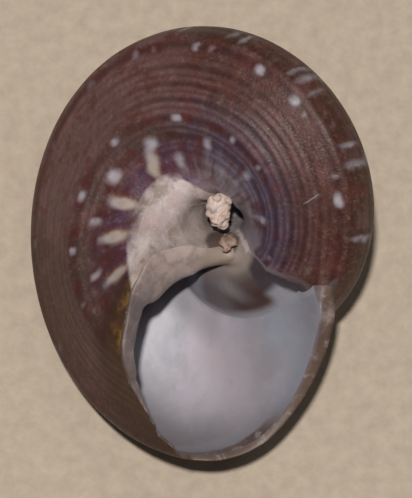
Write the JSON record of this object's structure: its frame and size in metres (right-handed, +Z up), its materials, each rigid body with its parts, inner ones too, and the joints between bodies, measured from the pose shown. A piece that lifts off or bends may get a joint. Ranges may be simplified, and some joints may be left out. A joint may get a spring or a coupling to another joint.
{
  "type": "top shell",
  "caption": "Wound sea snail shell with a low conical spire, spiral cords, a round pearly aperture and an open umbilicus holding lumps of grit.",
  "frame": {"origin": "middle of the footprint's bounding box, on the surface that the shell lies on", "axes": "+Z up from the surface, with the shell lying on the side of its spire and its base and aperture turned up; +Y from the aperture towards the far side of the base; +X towards the side under which the apex lies"},
  "size_m": [0.016, 0.0198, 0.0121],
  "materials": {
    "shell": "satin outside, pearly inside",
    "grit": "rough"
  },
  "bodies": {
    "root": {"shell": "shell", "grit_large": "grit", "grit_small": "grit"}
  },
  "joints": []
}
